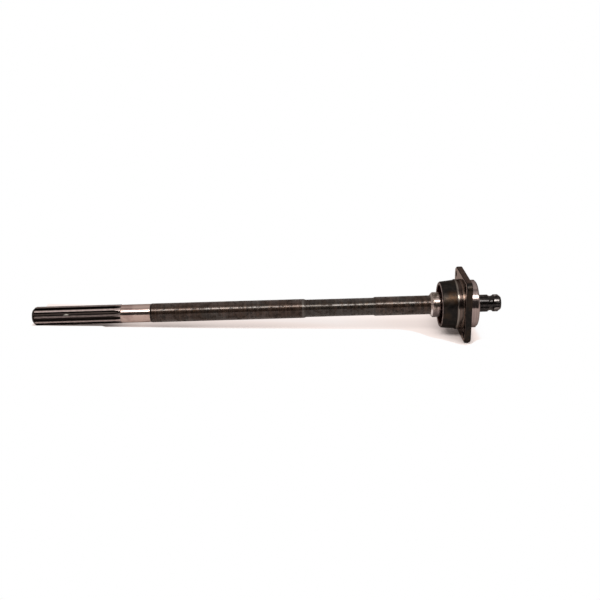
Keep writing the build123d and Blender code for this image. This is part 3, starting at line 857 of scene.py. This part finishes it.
# %% The housing: shine and relief
SKIN_METAL, HOLE_METAL = 0.85, 0.9
SKIN_GRAIN, MACHINED_GRAIN, SPIGOT_GRAIN, HOLE_GRAIN = (0.30, 0.42), 0.20, 0.12, 0.7
SAND_SCALE, SAND_DETAIL, SAND_DEPTH = 700.0, 4.0, 0.12 * MM
MARKS_BESIDE_SAND = 0.1

metal = layered(
    tree, mix_values, mix_values(tree, machined, SKIN_METAL, 1.0), (holes, HOLE_METAL))
grain = layered(
    tree, mix_values, mix_values(tree, dusty, *SKIN_GRAIN),
    (machined, MACHINED_GRAIN), (spigot, SPIGOT_GRAIN), (holes, HOLE_GRAIN))
drive(tree, shader, Base_Color=colour, Metallic=metal, Roughness=grain)
sand = add_node(tree, "ShaderNodeTexNoise", {
    "Vector": tree.nodes["Place"].outputs["Object"], "Scale": SAND_SCALE,
    "Detail": SAND_DETAIL})
tool_marks = calc(tree, "MULTIPLY", fine, MARKS_BESIDE_SAND)
relief(tree, shader, mix_values(tree, machined, sand.outputs[0], tool_marks), SAND_DEPTH)
give(housing_finish, "bearing_housing")
print("housing finished with", len(tree.nodes), "nodes")


# %% [markdown]
# The bearing's races and balls are ground and polished, and its cage is pressed from sheet
# steel that keeps a satin skin. All of it is coloured dark: partly a thin film of grease, and
# partly painted shade for the dark inside of the housing. The small pieces are alike in how
# they are finished: two colours in patches, and a grain that goes either with the patches or
# with the tool's rings. So one helper finishes them all.

# %% The bearing
def patchy_finish(name, size, cover, colours, grains, pitch=None, metals=None, **constants):
    """Two colours in patches, and two grains in the patches or, with a pitch, in rings."""
    material, tree, shader = new_finish(name, **constants)
    mask = in_patches(tree, size, cover)
    grain_mask = turned(tree, pitch) if pitch else mask
    drive(
        tree, shader, Base_Color=mix_colours(tree, mask, *colours),
        Roughness=mix_values(tree, grain_mask, *grains))
    if metals:
        drive(tree, shader, Metallic=mix_values(tree, mask, *metals))
    return material


# The dark colours are partly grease and partly painted shade inside the housing.
polished = patchy_finish(
    "bearing_polished_steel", size=6 * MM, cover=0.55, pitch=0.25 * MM,
    colours=(seen(104, 92, 84), seen(52, 36, 26)), grains=(0.14, 0.2), Metallic=1.0)
balls = [name for name in nodes if name.startswith("bearing_ball_")]
give(polished, "bearing_inner_race", "bearing_outer_race", *balls)

# These dark colours too are partly grease and partly painted shade inside the housing.
pressed = patchy_finish(
    "cage_pressed_steel", size=5 * MM, cover=0.5,
    colours=(seen(92, 80, 70), seen(50, 36, 26)), grains=(0.32, 0.45), Metallic=1.0)
give(pressed, "cage_front_half", "cage_rear_half", "cage_rivets")
print("bearing finished:", len(balls), "balls")

# %% [markdown]
# The snap ring and the seal's spring are spring steel with a dark phosphate skin, which shows
# more metal where it is worn. The seal has a drawn steel case and a black rubber lip.

# %% Ring and seal
phosphate = patchy_finish(
    "spring_phosphated_steel", size=3 * MM, cover=0.45,
    colours=(seen(52, 50, 50), seen(92, 86, 82)), grains=(0.5, 0.36), metals=(0.4, 0.8))
give(phosphate, "housing_snap_ring", "seal_garter_spring")

drawn = patchy_finish(
    "seal_case_drawn_steel", size=7 * MM, cover=0.4, pitch=0.4 * MM,
    colours=(seen(150, 144, 138), seen(104, 94, 86)), grains=(0.3, 0.4), Metallic=1.0)
give(drawn, "oil_seal_case")

rubber = patchy_finish(
    "seal_black_rubber", size=5 * MM, cover=0.45,
    colours=(seen(30, 29, 29), seen(50, 48, 47)), grains=(0.5, 0.7), Specular_IOR_Level=0.4)
give(rubber, "oil_seal_lip")
print("ring and seal finished")

# %% [markdown]
# Last, the model is measured once more, so that the printed size change shows whether the
# dressed object still has the size of its frame.

# %% Sizes, and the end
low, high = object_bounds()
growth = (high - low) - (cad_high - cad_low)
print("size change:", [round(change / MM, 3) for change in growth], "mm")
